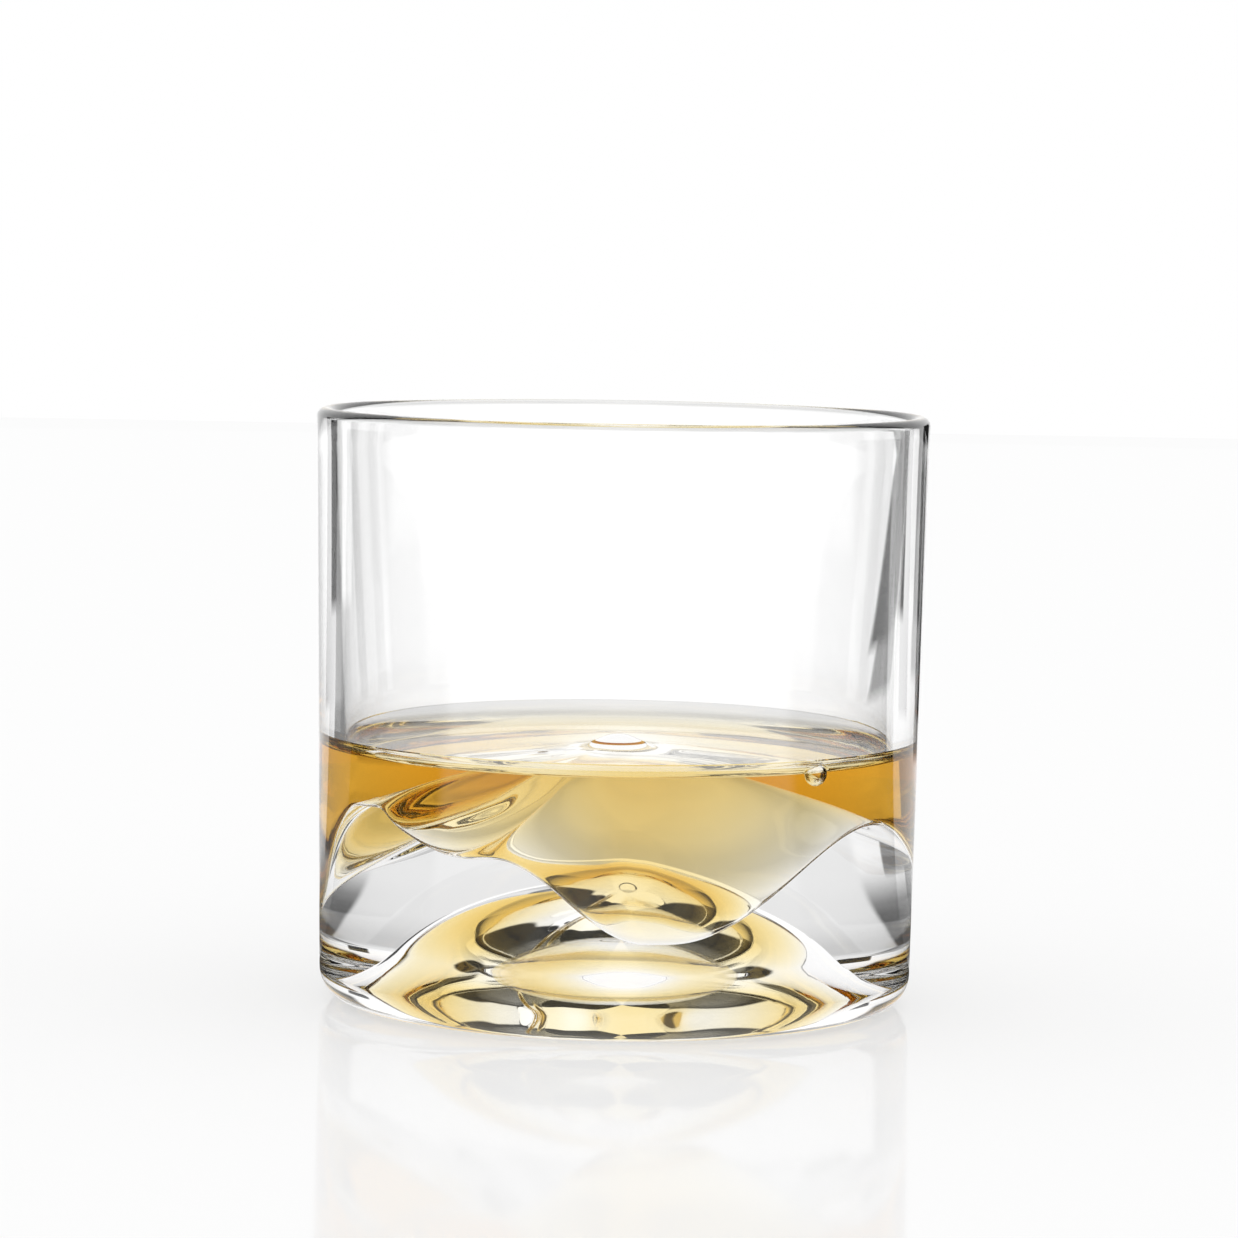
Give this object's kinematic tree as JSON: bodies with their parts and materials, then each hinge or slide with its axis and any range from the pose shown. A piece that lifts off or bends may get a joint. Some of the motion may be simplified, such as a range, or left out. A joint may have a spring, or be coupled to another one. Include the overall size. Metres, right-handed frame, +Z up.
{
  "type": "whiskey tumbler",
  "caption": "Heavy-based clear glass whiskey tumbler with a moulded mountain rising from its floor, part filled with whiskey.",
  "frame": {"origin": "centre of the foot, on the surface that the tumbler stands on", "axes": "+Z up along the glass's axis; the broad face of the mountain, between its left and right ridges, looks along -Y"},
  "size_m": [0.0882, 0.0882, 0.085],
  "materials": {
    "clear_glass": "fire-polished clear soda-lime glass",
    "whiskey": "clear amber liquid"
  },
  "bodies": {
    "root": {"glass_tumbler": "clear_glass", "whiskey": "whiskey"}
  },
  "joints": []
}
